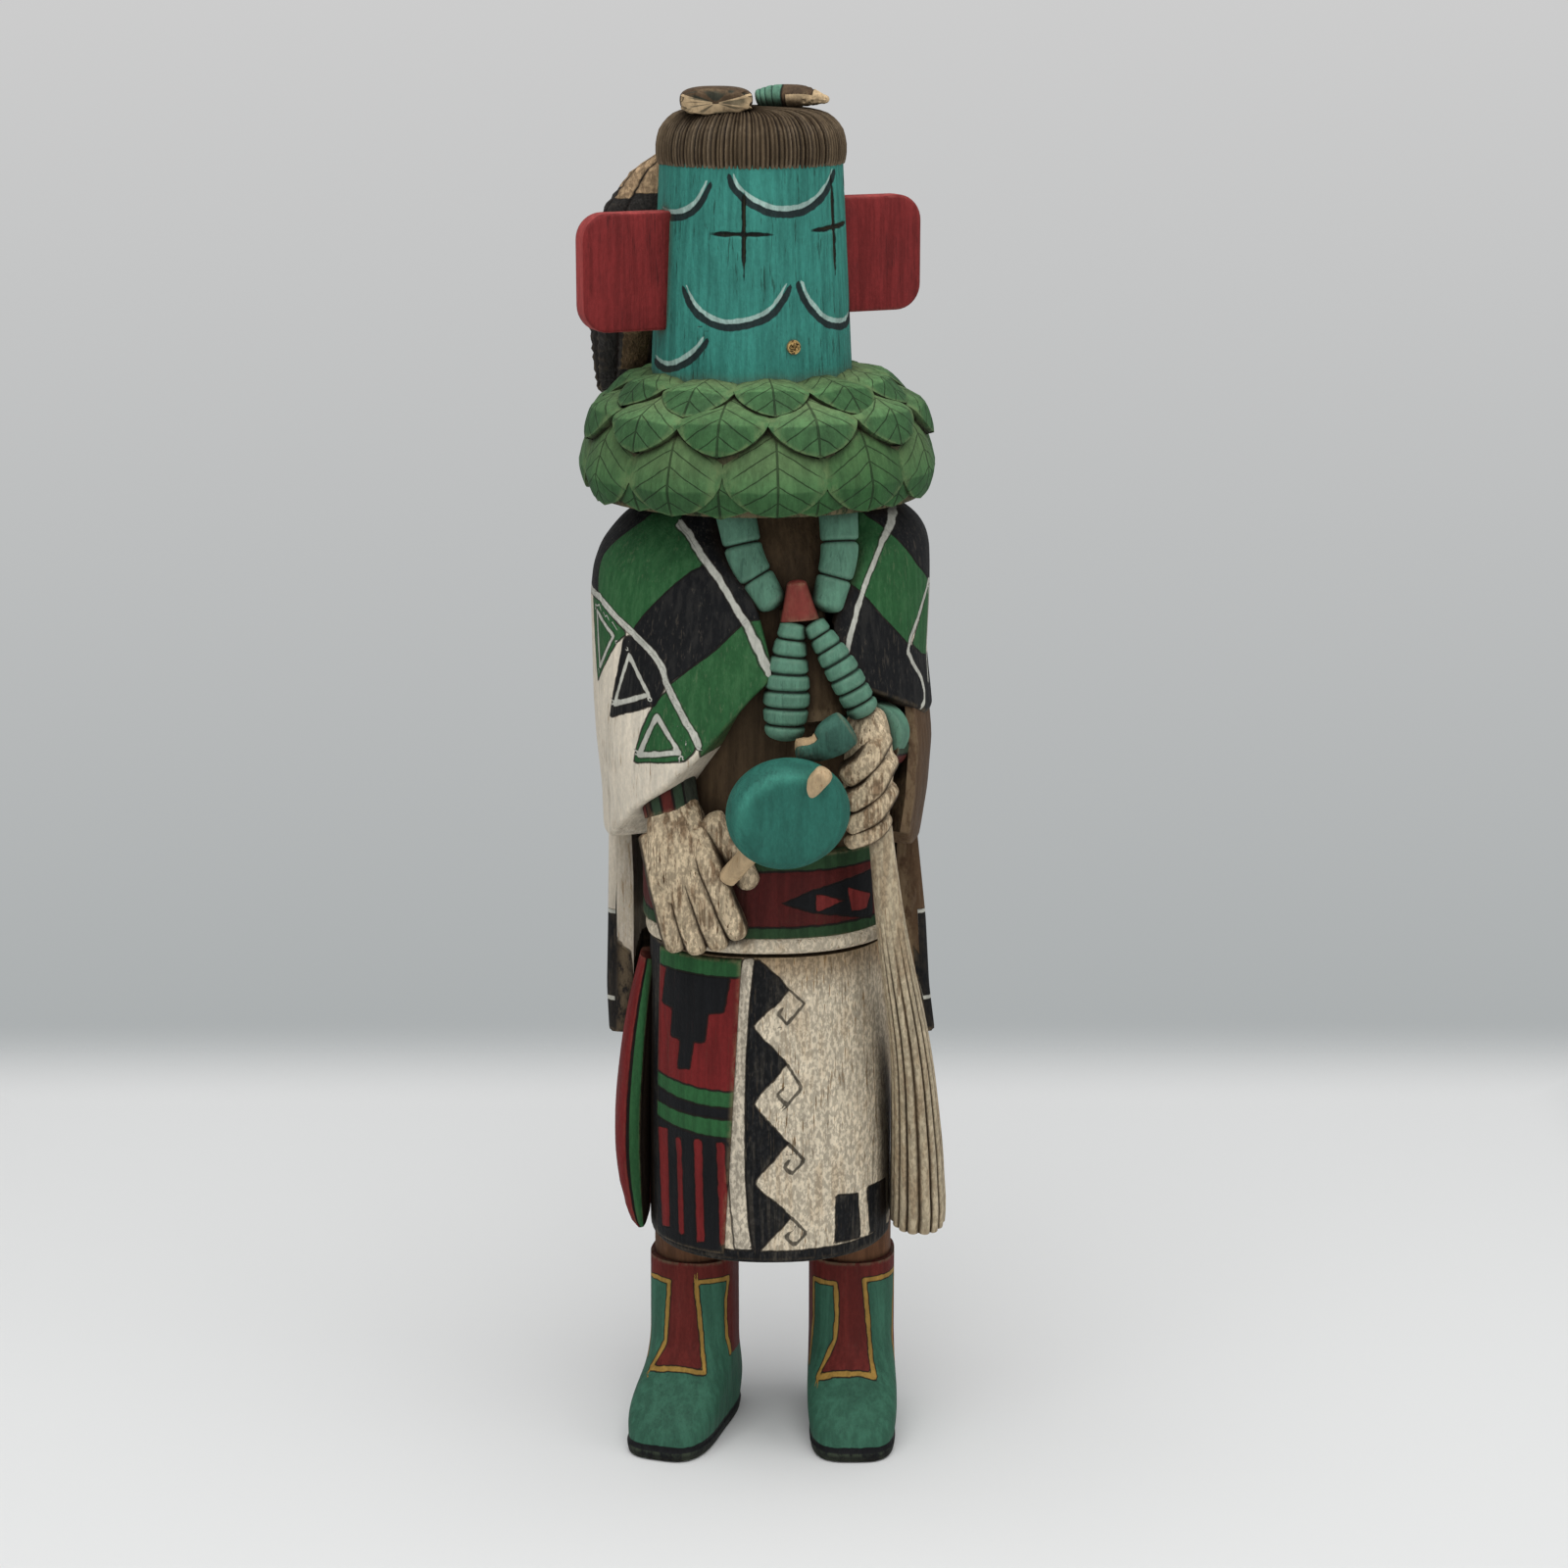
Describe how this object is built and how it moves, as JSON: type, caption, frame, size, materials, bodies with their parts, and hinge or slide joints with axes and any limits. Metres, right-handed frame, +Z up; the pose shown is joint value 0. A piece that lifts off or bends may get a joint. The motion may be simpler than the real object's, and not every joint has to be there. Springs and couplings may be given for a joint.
{
  "type": "carved kachina doll",
  "caption": "Standing figure carved from one root and painted: a turned cylindrical mask over a leaf ruff, a patterned cape and kilt, and tall boots. It holds a disc rattle.",
  "frame": {"origin": "on the ground, under the middle of the whole carving", "axes": "+Z up, the doll looks along -Y, its left side is towards +X"},
  "size_m": [0.101, 0.116, 0.38],
  "materials": {
    "painted_carving": "matte paint over wood",
    "red_paint": "matte red paint over wood",
    "turquoise_paint": "matte turquoise paint over wood",
    "brown_paint": "matte brown paint over wood",
    "bare_wood": "bare wood"
  },
  "bodies": {
    "root": {"figure": "painted_carving", "ear_right": "red_paint", "ear_left": "red_paint", "crest_stump_right": "brown_paint", "crest_stump_left": "turquoise_paint", "back_feathers": "brown_paint", "snout_peg": "bare_wood", "rattle_gourd": "turquoise_paint", "rattle_handle": "bare_wood", "held_stub": "turquoise_paint"}
  },
  "joints": []
}
